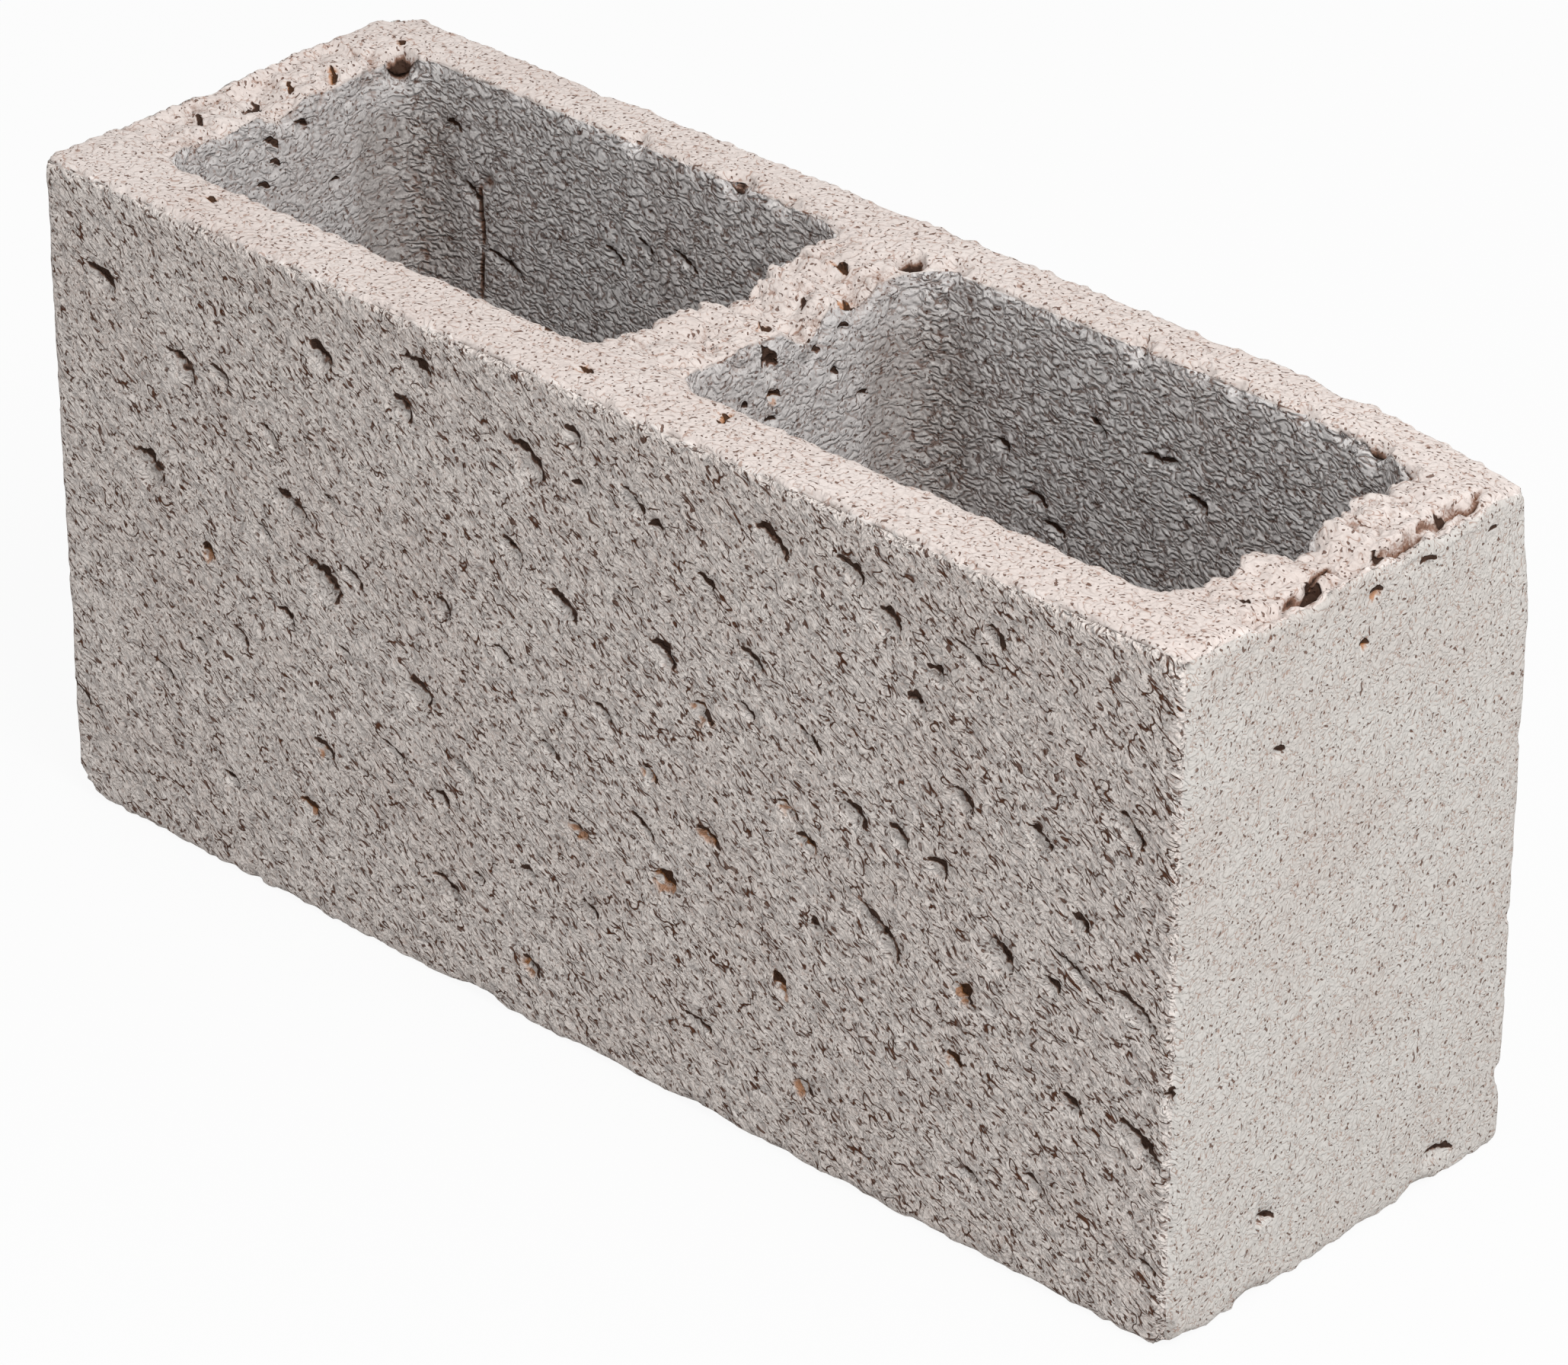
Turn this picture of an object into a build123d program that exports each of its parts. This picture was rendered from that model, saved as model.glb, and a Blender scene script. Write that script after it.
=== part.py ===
"""Hollow concrete block, cast in one piece with two tapered cells.

Frame: X runs along the block, Y across it from the front shell to the back shell, Z up.
The origin is at the middle of the bottom bed face. All lengths are in millimetres.

The block stands as it was cast, with the wide ends of the cells upwards. The cores were
drawn out upwards, so every cell wall leans inwards on its way down and the rounding of
the cell corners grows, which leaves the shells and webs thickest at the bottom.
"""
import math
import os

from build123d import *

# Overall size of the casting
BLOCK_LENGTH = 390
BLOCK_WIDTH = 130
BLOCK_HEIGHT = 190

# Walls between the cells and the faces, measured at the top
FRONT_SHELL = 22
BACK_SHELL = 18
END_WEB = 21
MIDDLE_WEB = 23

# Cells: how far each wall leans inwards, and the corner rounding at both ends
CELL_DRAFT = 4
CELL_CORNER_TOP = 12
CELL_CORNER_BOTTOM = 34

# Groove that the bar between the cores left along the tops of the three webs
BAR_GROOVE_WIDTH = 22
BAR_GROOVE_DEPTH = 7
BAR_GROOVE_END_RIM = 5

# Eased outer edges
UPRIGHT_ARRIS = 4
BED_ARRIS = 1.2

# How far the cutting shapes pass the faces that they open
OVERRUN = 5

# Sizes that follow from the ones above
CELL_COUNT = 2
CELL_LENGTH = (BLOCK_LENGTH - 2 * END_WEB - (CELL_COUNT - 1) * MIDDLE_WEB) / CELL_COUNT
CELL_WIDTH = BLOCK_WIDTH - FRONT_SHELL - BACK_SHELL
CELL_MIDDLE_Y = (FRONT_SHELL - BACK_SHELL) / 2
CELL_SPACING = CELL_LENGTH + MIDDLE_WEB
CUT_BOTTOM = -OVERRUN
CUT_TOP = BLOCK_HEIGHT + OVERRUN


def prism_between(lower, upper):
    """A solid with flat sides between two outlines that have the same number of points."""
    sides = [
        Face(Wire.make_polygon([lower[i - 1], lower[i], upper[i], upper[i - 1]]))
        for i in range(len(lower))
    ]
    ends = [Face(Wire.make_polygon(outline)) for outline in (lower, upper)]
    return Solid(Shell(sides + ends))


def casting():
    """The outer body, with its upright arrises and then its bed edges rounded over."""
    body = Box(
        BLOCK_LENGTH,
        BLOCK_WIDTH,
        BLOCK_HEIGHT,
        align=(Align.CENTER, Align.CENTER, Align.MIN),
    )
    body = fillet(body.edges().filter_by(Axis.Z), UPRIGHT_ARRIS)
    beds = body.faces().filter_by(Axis.Z)
    return fillet(beds.edges(), BED_ARRIS)


def cell_edge(height):
    """The sharp edge where two leaning cell walls would meet, at a height on the cell's own axes."""
    lean = CELL_DRAFT * (BLOCK_HEIGHT - height) / BLOCK_HEIGHT
    return Vector(CELL_LENGTH / 2 - lean, CELL_WIDTH / 2 - lean, height)


def sharp_cell():
    """The cell with flat leaning walls, before its corners are rounded."""

    def outline(height):
        corner = cell_edge(height)
        signs = ((-1, -1), (1, -1), (1, 1), (-1, 1))
        return [Vector(sx * corner.X, sy * corner.Y, height) for sx, sy in signs]

    return prism_between(outline(CUT_BOTTOM), outline(CUT_TOP))


def corner_fill():
    """The concrete left in one cell corner, outside a cone that touches both walls.

    A rounding whose radius grows evenly down a straight edge is a cone. Its tip is on that
    edge, at the height where the radius would come to nothing, and it touches each wall
    along a straight line from the tip.
    """
    growth = (CELL_CORNER_BOTTOM - CELL_CORNER_TOP) / BLOCK_HEIGHT
    tip = cell_edge(BLOCK_HEIGHT + CELL_CORNER_TOP / growth)

    lean_angle = math.atan2(CELL_DRAFT, BLOCK_HEIGHT)
    end_wall = Vector(-math.cos(lean_angle), 0, math.sin(lean_angle))
    side_wall = Vector(0, -math.cos(lean_angle), math.sin(lean_angle))
    towards_axis = (end_wall + side_wall) / (1 + end_wall.dot(side_wall))
    foot = cell_edge(0) + towards_axis * CELL_CORNER_BOTTOM

    def touch_line(wall, height):
        touch = foot - wall * CELL_CORNER_BOTTOM - tip
        return tip + touch * ((height - tip.Z) / touch.Z)

    def outline(height):
        return [cell_edge(height), touch_line(end_wall, height), touch_line(side_wall, height)]

    axis = foot - tip
    half_angle = math.asin(CELL_CORNER_BOTTOM / axis.length)
    reach = axis.length + CELL_CORNER_BOTTOM + OVERRUN
    cone = Cone(reach * math.tan(half_angle), 0, reach, align=(Align.CENTER, Align.CENTER, Align.MAX))
    return prism_between(outline(CUT_BOTTOM), outline(CUT_TOP)) - Plane(tip, z_dir=-axis) * cone


def cell():
    """The core's shape: flat leaning walls, with corners that are parts of cones."""
    fill = corner_fill()
    fills = [fill, mirror(fill, Plane.YZ)]
    fills += [mirror(one, Plane.XZ) for one in fills]
    return sharp_cell() - fills


def bar_groove():
    """A round-bottomed trough along the middle of the cells, stopped short of both ends."""
    half_width = BAR_GROOVE_WIDTH / 2
    profile = Polyline(
        (half_width, 0),
        (half_width, OVERRUN),
        (-half_width, OVERRUN),
        (-half_width, 0),
    )
    profile += ThreePointArc((-half_width, 0), (0, -BAR_GROOVE_DEPTH), (half_width, 0))
    run = BLOCK_LENGTH / 2 - BAR_GROOVE_END_RIM
    trough = extrude(Plane.YZ * make_face(profile), run, both=True)
    return Pos(0, CELL_MIDDLE_Y, BLOCK_HEIGHT) * trough


def concrete_block():
    """The casting with its two cells through it and the groove across the webs."""
    block = casting()
    for index in range(CELL_COUNT):
        middle_x = (index - (CELL_COUNT - 1) / 2) * CELL_SPACING
        block -= Pos(middle_x, CELL_MIDDLE_Y, 0) * cell()
    block -= bar_groove()
    block.label = "concrete_block"
    return block


os.makedirs("parts", exist_ok=True)
export_step(concrete_block(), "parts/concrete_block.step")
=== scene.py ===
"""Looks of a hollow concrete block, cast in one piece: pitted faces, worn edges, crumbled webs.

The scene is in metres. The block's shape and relief are worked out in millimetres on the CAD
frame's axes: X along the block, Y from the front shell to the back shell, Z up. Tables give
places on a face in millimetres from its left, front or bottom edge.
"""
import math

import bpy
import numpy as np
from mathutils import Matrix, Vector


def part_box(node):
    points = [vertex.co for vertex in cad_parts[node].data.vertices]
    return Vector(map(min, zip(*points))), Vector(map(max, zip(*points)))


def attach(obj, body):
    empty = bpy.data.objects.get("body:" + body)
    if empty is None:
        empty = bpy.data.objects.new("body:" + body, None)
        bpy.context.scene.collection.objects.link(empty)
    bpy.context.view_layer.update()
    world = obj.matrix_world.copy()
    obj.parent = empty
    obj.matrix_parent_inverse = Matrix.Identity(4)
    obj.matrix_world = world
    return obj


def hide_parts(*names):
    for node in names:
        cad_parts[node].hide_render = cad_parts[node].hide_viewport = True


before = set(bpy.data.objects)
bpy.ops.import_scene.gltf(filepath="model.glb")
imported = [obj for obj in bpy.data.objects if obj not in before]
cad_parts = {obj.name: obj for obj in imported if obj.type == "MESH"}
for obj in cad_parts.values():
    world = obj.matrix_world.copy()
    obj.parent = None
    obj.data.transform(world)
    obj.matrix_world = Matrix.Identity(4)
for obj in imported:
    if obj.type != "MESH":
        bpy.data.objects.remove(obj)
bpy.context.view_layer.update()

# Overall size of the block, from the frame
MM = 0.001
NODE = "concrete_block"
node_low, node_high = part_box(NODE)
LENGTH, WIDTH, HEIGHT = (node_high - node_low) / MM

# Walls round the cells at the top, the lean of the cell walls and their corner rounding
FRONT_SHELL = 22.0
BACK_SHELL = 18.0
END_WEB = 21.0
MIDDLE_WEB = 23.0
CELL_DRAFT = 4.0
CELL_CORNER_TOP = 12.0
CELL_CORNER_BOTTOM = 34.0
CELL_HALF_LENGTH = (LENGTH - 2 * END_WEB - MIDDLE_WEB) / 4
CELL_HALF_WIDTH = (WIDTH - FRONT_SHELL - BACK_SHELL) / 2
CELL_MIDDLE_X = MIDDLE_WEB / 2 + CELL_HALF_LENGTH
CELL_MIDDLE_Y = (FRONT_SHELL - BACK_SHELL) / 2

# Rounded edges of the casting
UPRIGHT_ARRIS = 4.0
BED_ARRIS = 1.6
MOUTH_ARRIS = 1.6

# Surface points before they are thinned: spacing, points over a bed edge, shares in the corner arcs
SPACING = 1.0
EDGE_POINTS = 4
OUTER_ARC_SHARE = 0.03
CELL_ARC_SHARE = 0.12
CORNER_SIGNS = ((-1, -1), (1, -1), (1, 1), (-1, 1))
KEPT_TRIANGLES = 192000

# Flat map: room between charts, least facing of a triangle, and the row with room for loose ones
BAKE_MARGIN = 4.0
BAKE_FACING = 0.15
BAKE_LOOSE_ROW = 2

# Values that the finish reads at the points of the surface; the marks for the hollows and for the cells'
# back corners are painted shade
FINISH_MARKS = ("hollow", "iron", "rim", "bed", "end", "cell", "calm", "corner_shade")

# Pits seen on the front face: place along and up, width, height, turn in degrees, iron stain
FRONT_PITS = (
    (21.5, 161.5, 10, 5.5, -20, 0), (51.5, 146.5, 10, 6.5, -25, 0), (66.5, 149, 7, 4, -20, 0),
    (84.5, 138, 6, 4, -25, 0), (36.5, 111.5, 10, 9, -30, 0), (59, 94, 4, 6, 0, 1),
    (104, 167, 8, 7, -30, 0), (134, 163, 7, 7, -30, 0), (140, 176, 10, 6, -15, 0),
    (178, 164.5, 12, 7, -25, 0), (194, 177, 5, 5, -30, 0), (196.5, 164, 4, 3, 0, 0),
    (91, 120, 10, 6.5, -25, 0), (106.5, 127, 5, 2.5, -20, 0), (102, 101.5, 12, 10, -30, 0),
    (114, 107.5, 7, 4, -25, 0), (146.5, 111, 5, 6, -40, 0), (172, 137.5, 7, 5, -25, 0),
    (189, 128, 9, 6, -25, 0), (168, 106, 6, 4, -20, 0), (81.5, 108.5, 6, 2.5, -35, 0),
    (214, 167, 9, 3, -35, 0), (222, 162, 3.5, 3.5, 0, 0), (238.5, 153, 5, 4, -25, 0),
    (260, 172, 10, 6, -25, 0), (286, 174, 8, 5, -25, 0), (298, 165, 6, 7, -30, 0),
    (313.5, 157, 5, 4, -20, 0), (331.5, 173.5, 6, 5, -30, 0), (323.5, 166.5, 8, 2.5, -25, 0),
    (254, 137.5, 7, 4.5, -25, 0), (223.5, 127.5, 9, 6, -30, 0), (307.5, 146.5, 4, 6.5, 10, 0),
    (374, 139, 9, 5, -40, 0), (322, 126, 7, 6, -30, 0), (346, 125.5, 7, 5, -25, 0),
    (237.5, 116.5, 6, 5, -30, 1), (252.5, 123, 5, 2.5, -40, 0), (273, 123.5, 8, 2.5, -30, 0),
    (287.5, 108, 8, 6, -30, 0), (302, 108, 6, 5, -30, 0), (314.5, 104, 6, 5, -30, 0),
    (359, 108, 5, 5, -30, 0), (266, 101, 6, 3, -20, 1), (203, 103, 7, 4, -25, 0),
    (219, 92, 5, 4, -30, 1), (88, 86.5, 6, 4, -25, 0), (69.5, 74, 6, 5, -25, 0),
    (54.5, 65.5, 4, 3, -20, 0), (4.5, 31, 7, 5, -20, 0), (64, 28.5, 6, 3, -15, 0),
    (94.5, 31.5, 6, 4, -20, 1), (137, 83, 8, 7, -35, 0), (144, 54.5, 6, 4, -20, 0),
    (153.5, 66.5, 8, 3, -25, 0), (127, 62, 8, 2.5, -25, 0), (101, 52, 7, 4.5, -20, 1),
    (146, 28.5, 9, 5, -20, 0), (176, 45.5, 4, 4, 0, 0), (184, 85, 6, 3.5, -20, 0),
    (194, 66, 6, 3, -20, 1), (197, 43.5, 6, 4, -25, 0), (175.5, 18, 6, 5, -30, 1),
    (239, 82, 7, 3.5, -25, 1), (216.5, 76, 8, 3, -30, 0), (224, 62.5, 5, 7, -15, 1),
    (264, 49, 3, 8, 30, 1), (272, 94, 6, 4, -25, 1), (276, 71, 3, 6, 15, 0),
    (296, 79, 15, 6, -42, 0), (323, 72.5, 6, 5, -30, 1), (320.5, 53, 4.5, 5, -30, 1),
    (334, 88.5, 9, 8, -35, 0), (351, 87.5, 5, 4, -25, 0), (376, 91, 12, 6, -20, 0),
    (358, 56.5, 6, 5, -25, 0), (379, 55, 13, 6.5, -28, 0), (235.5, 26.5, 8, 3, -15, 0),
    (271.5, 23.5, 5, 4, -20, 1), (325.5, 22.5, 5, 4, -20, 0), (346.5, 29.5, 6, 3, -20, 0),
    (359, 94, 16, 2.2, -25, 0), (383, 22, 5, 3, -20, 0), (388, 70, 4, 8, -15, 0),
    (110, 84, 5, 2.5, -30, 0), (157.5, 36.5, 4, 3, -20, 0), (40, 52, 5, 3, -25, 0),
)

# Pits: spread past the size in their table, least depth, depth by size, and its share on the low side
PIT_SPREAD = 1.15
PIT_LEAST_DEPTH = 1.0
PIT_DEPTH_BY_SIZE = 0.36
PIT_LOW_SIDE = 0.08

# Pits scattered over the faces that the photo hides: mean spacing and share that are open
SCATTER_SPACING = 15
SCATTER_OPEN = 0.42

# Pits on the right end: place from the front and up, width, height, turn, iron stain
END_PITS = (
    (35.5, 22, 6, 3.5, -20, 0), (103, 8.5, 10, 4, -12, 0), (34, 152, 4, 3, -20, 0),
    (87, 181, 5, 2.5, -5, 0), (67.5, 180.5, 4, 3, 0, 1), (64, 168, 3, 3, 0, 1),
    (112, 179.5, 3, 2, 0, 0),
)

# Holes in the faces of the two webs that look towards the right: from the front, up, size, turn
LEFT_WEB_PITS = (
    (69, 184, 4, 3, 0, 0), (73, 180, 4.5, 3.5, -20, 0), (62, 178, 5, 3.5, -30, 0),
    (63, 172, 3.5, 3, -20, 0), (58.5, 167, 4, 2.5, -20, 0), (55, 162, 2.5, 2, 0, 1),
    (84, 160, 3, 2.5, 0, 0), (40, 150, 2.5, 2.5, 0, 0),
)
MIDDLE_WEB_PITS = (
    (57, 179, 4, 10, 8, 0), (58.5, 170, 3.5, 3.5, 0, 1), (57, 164, 4.5, 2.5, -10, 0),
    (50, 158, 3, 2.5, 0, 1), (70, 181, 3.5, 4, -10, 0), (74, 177, 2.5, 3, 0, 0),
    (80, 169, 3, 3, -20, 0), (90, 159, 4, 3, 0, 0), (48, 171, 2, 3.5, 0, 0),
    (84, 180, 3, 2.5, 0, 0),
)

# Holes in the back walls of the cells: along the block, up, size, turn
CELL_BACK_PITS = (
    (44.5, 155, 6, 4, -30, 0), (58, 138, 12, 3, -15, 0), (98.5, 154, 7, 3, -20, 0),
    (110, 160, 6, 3, -35, 0), (124, 161, 8, 2.5, -20, 0), (38.7, 172, 5, 4, 0, 0),
    (266.5, 163, 6, 3, -30, 0), (285, 160.5, 5, 3, 0, 0), (290, 161.5, 5, 2.5, 20, 0),
    (299.5, 153, 6, 4, -20, 0), (247, 136, 7, 3, -15, 0), (253.5, 129.5, 6, 3, -10, 0),
    (235, 147, 5, 3, -20, 0),
)

# Pits in the top bed: along the block, from the front, width, depth along Y, turn, iron stain
BED_PITS = (
    (52, 12.5, 3.5, 3, 0, 1), (230, 15.5, 3, 3.5, -30, 1), (231.5, 13, 2.5, 2.5, 0, 1),
    (166, 20, 4, 3, -20, 1), (11, 64.5, 8, 4.5, -40, 0), (14.5, 58, 4, 7, 10, 0),
    (13, 76, 6, 3, -30, 1), (9, 47, 4, 3, -20, 0), (16, 89, 6, 2.5, -35, 1),
    (17.5, 113, 2, 3, 0, 1), (378, 33, 3.5, 2.5, 0, 0), (384, 74.5, 4, 4, 0, 0),
    (384, 50, 4, 6, 10, 0), (384, 97, 2.5, 3.5, 0, 0), (189, 10, 4, 3, 0, 1),
    (197, 78, 5, 3, -40, 0), (203, 87, 5, 5, -40, 1), (193, 97, 4, 3, 0, 1),
    (200, 63, 4, 9, 35, 1),
)

# Bites out of the edges: X and Y from the left and front, Z, half sizes along X, Y and Z, depth
EDGE_BITES = (
    (23, 107.5, 190, 4.5, 5, 9, 6.5), (205, 110, 190, 4.5, 4, 9, 6.5),
    (106, 113, 190, 5, 4.5, 6, 4), (142, 113.5, 190, 5.5, 5, 7, 4.5), (159, 113, 190, 4, 3.5, 5, 3),
    (216, 114, 190, 5, 4, 6, 4), (278, 113, 190, 4, 4.5, 7, 4), (298, 113, 190, 4, 3.5, 5, 3),
    (310, 113, 190, 3.5, 3, 5, 2.5), (331, 113, 190, 4, 3, 5, 3), (344, 112, 190, 3, 3, 5, 2.5),
    (353, 112, 190, 5, 4.5, 7, 4.5), (366, 107, 187, 4.5, 5, 8, 6),
    (203, 0, 190, 4.5, 4, 4, 2.8), (304, 0, 190, 5, 3.5, 3, 2),
    (357, 0, 190, 4, 3, 3, 1.5), (126, 0, 190, 4, 3, 3, 1.5), (64, 0, 190, 4, 3, 3, 1.4),
    (240, 0, 190, 4, 3, 3, 1.4), (390, 0, 190, 9, 9, 9, 2.2), (156, 0, 0, 11, 6, 4, 2.2),
    (238, 0, 0, 12, 6, 3, 1.6), (389, 0, 2, 5, 6, 8, 2.5), (0, 0, 0, 9, 9, 8, 3.5),
    (390, 32, 0, 6, 7, 4, 2), (390, 96, 0, 6, 8, 4, 2), (390, 4, 0, 6, 8, 5, 2),
    (390, 130, 20, 5, 5, 6, 1.8), (390, 130, 66, 3, 4, 4, 1.5), (390, 130, 118, 3, 4, 4, 1.2),
    (330, 130, 190, 9, 5, 4, 2), (290, 130, 190, 7, 4, 4, 1.4), (80, 130, 190, 6, 4, 4, 1.5),
    (0, 130, 190, 10, 10, 8, 4), (0, 60, 190, 5, 9, 5, 2), (0, 40, 0, 6, 10, 5, 2.5),
    (120, 130, 0, 12, 6, 5, 2.6), (260, 130, 0, 9, 6, 5, 2.2), (0, 130, 60, 4, 4, 9, 2),
    (0, 0, 120, 3, 3, 6, 1.4),
)

# Core-bar groove over the webs, a second dip (place, half width, depth) and the worn back corner
GROOVE_DEPTH = 6.5
GROOVE_HALF_WIDTH = 9.5
GROOVE_RIM = 6.0
GROOVE_SHARES = (0.4, 1.0, 1.0, 1.0)
SECOND_DIP = (26.0, 6.0, 3.5)
WORN_CORNER_REACH = (62.0, 34.0)
WORN_CORNER_SHIFT = (2.2, 1.6, 6.0)

# Depths below the top: where the walls settle, the mouths bulge and the webs crumble
SETTLE_REACH = 42
MOUTH_REACH = 16
CRUMB_REACH = 14

# Crack along the top of the right end, between the web and its outer rim
RIM_CRACK_IN = 6.0
RIM_CRACK_SPAN = (-30.0, 55.0)

# Finish: how far streaks bend in mm, the slant they run along, and the wander of a pit's edge
STREAK_BEND = 2.3
STREAK_SLANT = math.radians(33)
PIT_WANDER = 0.8

# Camera: the photo's width and focal length in pixels, and the view on the block
IMAGE_WIDTH = 2059
FOCAL_PIXELS = 9000
SENSOR_WIDTH = 36.0
VIEW_AZIMUTH = 43.28
VIEW_ELEVATION = 29.57
VIEW_DISTANCE = 1744.0
AIM_RIGHT = 6.5
AIM_DOWN = 11.3
CLIP_END = 100.0
BLOCK_MIDDLE = Vector((0, 0, HEIGHT * MM / 2))

# Light and floor
KEY_DIRECTION = (0.62, -0.17, 0.77)
KEY_DISTANCE = 2.2
KEY_SIZE = 1.3
KEY_POWER = 36.0
FILL_STRENGTH = 0.70
WHITE = (1, 1, 1, 1)
FLOOR_HALF = 12.0
FLOOR_GREY = (0.6, 0.6, 0.6, 1)
FLOOR_GLOW = 0.93


def smooth_step(value, start, end):
    """Goes from 0 at start to 1 at end, level at both: 3t^2 - 2t^3 of the clipped share t."""
    share = np.clip((value - start) / (end - start), 0, 1)
    return share * share * (3 - 2 * share)


def scrambled(i, j, k, seed):
    """One even random value from 0 to 1 for each lattice place, from a mixed product of its numbers."""
    mixed = i * np.uint32(374761393) + j * np.uint32(668265263) + k * np.uint32(2246822519)
    mixed = mixed + np.uint32((seed * 3266489917) % 2**32)
    mixed = (mixed ^ (mixed >> np.uint32(15))) * np.uint32(2654435761)
    mixed = (mixed ^ (mixed >> np.uint32(13))) * np.uint32(3266489917)
    return (mixed ^ (mixed >> np.uint32(16))) / 2.0**32


def soft_noise(points, size, seed):
    """Random values on a lattice of this size, blended smoothly in between; from -1 to 1."""
    place = points / size + 1000
    corner = np.floor(place)
    part = place - corner
    part = part * part * part * (part * (part * 6 - 15) + 10)
    i, j, k = corner.astype(np.uint32).T
    total = 0
    for di, dj, dk in np.ndindex(2, 2, 2):
        weight = np.abs(1 - di - part[:, 0]) * np.abs(1 - dj - part[:, 1])
        weight = weight * np.abs(1 - dk - part[:, 2])
        value = scrambled(i + np.uint32(di), j + np.uint32(dj), k + np.uint32(dk), seed)
        total = total + weight * value
    return 2 * total - 1


def layered_noise(points, size, seed, layers):
    """Soft noise plus finer layers, each half the size and half the height; about -1 to 1."""
    heights = 0.5 ** np.arange(layers)
    total = sum(h * soft_noise(points, size * h, seed + n) for n, h in enumerate(heights))
    return total / heights.sum() * 1.5


def grains(points, size, seed):
    """Distances to the nearest and the next of one random point in each lattice cell, in cells.

    Also gives two random values that belong to the nearest point.
    """
    place = points / size + 1000
    corner = np.floor(place)
    i, j, k = corner.astype(np.uint32).T
    part = (place - corner).T
    nearest = np.full(len(points), 9.0)
    second = np.full(len(points), 9.0)
    first_value = np.zeros(len(points))
    other_value = np.zeros(len(points))
    steps = (-1, 0, 1)
    for di, dj, dk in ((a, b, c) for a in steps for b in steps for c in steps):
        cell = (i + np.uint32(di % 2**32), j + np.uint32(dj % 2**32), k + np.uint32(dk % 2**32))
        offset = [
            step + scrambled(*cell, seed + axis) - part[axis]
            for axis, step in enumerate((di, dj, dk))
        ]
        distance = np.sqrt(offset[0] ** 2 + offset[1] ** 2 + offset[2] ** 2)
        closer = distance < nearest
        second = np.where(closer, nearest, np.minimum(second, distance))
        nearest = np.where(closer, distance, nearest)
        first_value = np.where(closer, scrambled(*cell, seed + 3), first_value)
        other_value = np.where(closer, scrambled(*cell, seed + 4), other_value)
    return nearest, second, first_value, other_value


def rounded_side(u, start, end, rounds, shares):
    """One side of a rounded outline, from the middle of one corner's arc to the middle of the next.

    Over the first share of u the point turns through half of the first corner's quarter circle,
    then it runs straight, and over the last share it turns through half of the second corner's.
    u is a column, and start, end and the two rounds hold one value for each row of the result.
    """
    u = u[:, None]
    along = end - start
    length = np.hypot(along[:, 0], along[:, 1])
    along = along / length[:, None]
    inward = np.stack([-along[:, 1], along[:, 0]], axis=1)
    first, last = shares
    leaving = (1 - np.clip(u / first, 0, 1)) * math.pi / 4 if first else 0 * u
    arriving = np.clip((u - 1 + last) / last, 0, 1) * math.pi / 4 if last else 0 * u
    run = np.clip((u - first) / (1 - first - last), 0, 1)
    ahead = (
        rounds[0] * (1 - np.sin(leaving))
        + run * (length - rounds[0] - rounds[1])
        + rounds[1] * np.sin(arriving)
    )
    aside = rounds[0] * (1 - np.cos(leaving)) + rounds[1] * (1 - np.cos(arriving))
    return start + ahead[..., None] * along + aside[..., None] * inward


def ring(counts, corners, rounds, shares):
    """A closed outline of four rounded sides, for every row of the corners and rounds."""
    sides = []
    for side, count in enumerate(counts):
        pair = (side, (side + 1) % 4)
        ends, arcs, parts = ([values[i] for i in pair] for values in (corners, rounds, shares))
        sides.append(rounded_side(np.arange(count) / count, *ends, arcs, parts))
    return np.concatenate(sides)


def box_corners(half_length, half_width, signs):
    """Corners of a rectangle about the origin, for every row of its half sizes."""
    return np.stack([np.stack([sx * half_length, sy * half_width], axis=1) for sx, sy in signs])


def outer_ring(counts, inset):
    """Outline of the right half of the block, drawn in by inset: three faces and the middle line."""
    corners = box_corners(LENGTH / 2 - inset, WIDTH / 2 - inset, ((0, -1), (1, -1), (1, 1), (0, 1)))
    none = 0 * inset
    arris = UPRIGHT_ARRIS - inset
    return ring(counts, corners, (none, arris, arris, none), (0, OUTER_ARC_SHARE, OUTER_ARC_SHARE, 0))


def cell_size(height):
    """Half length, half width and corner rounding of a cell, which lean and grow evenly with depth."""
    depth_share = 1 - height / HEIGHT
    lean = CELL_DRAFT * depth_share
    corner = CELL_CORNER_TOP + (CELL_CORNER_BOTTOM - CELL_CORNER_TOP) * depth_share
    return CELL_HALF_LENGTH - lean, CELL_HALF_WIDTH - lean, corner


def cell_ring(counts, outset, height):
    """Outline of the right cell at each height, opened out by outset at its rounded mouths."""
    half_length, half_width, corner = cell_size(height)
    corners = box_corners(half_length + outset, half_width + outset, CORNER_SIGNS)
    corners = corners + (CELL_MIDDLE_X, CELL_MIDDLE_Y)
    return ring(counts, corners, [corner + outset] * 4, [CELL_ARC_SHARE] * 4)


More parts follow.
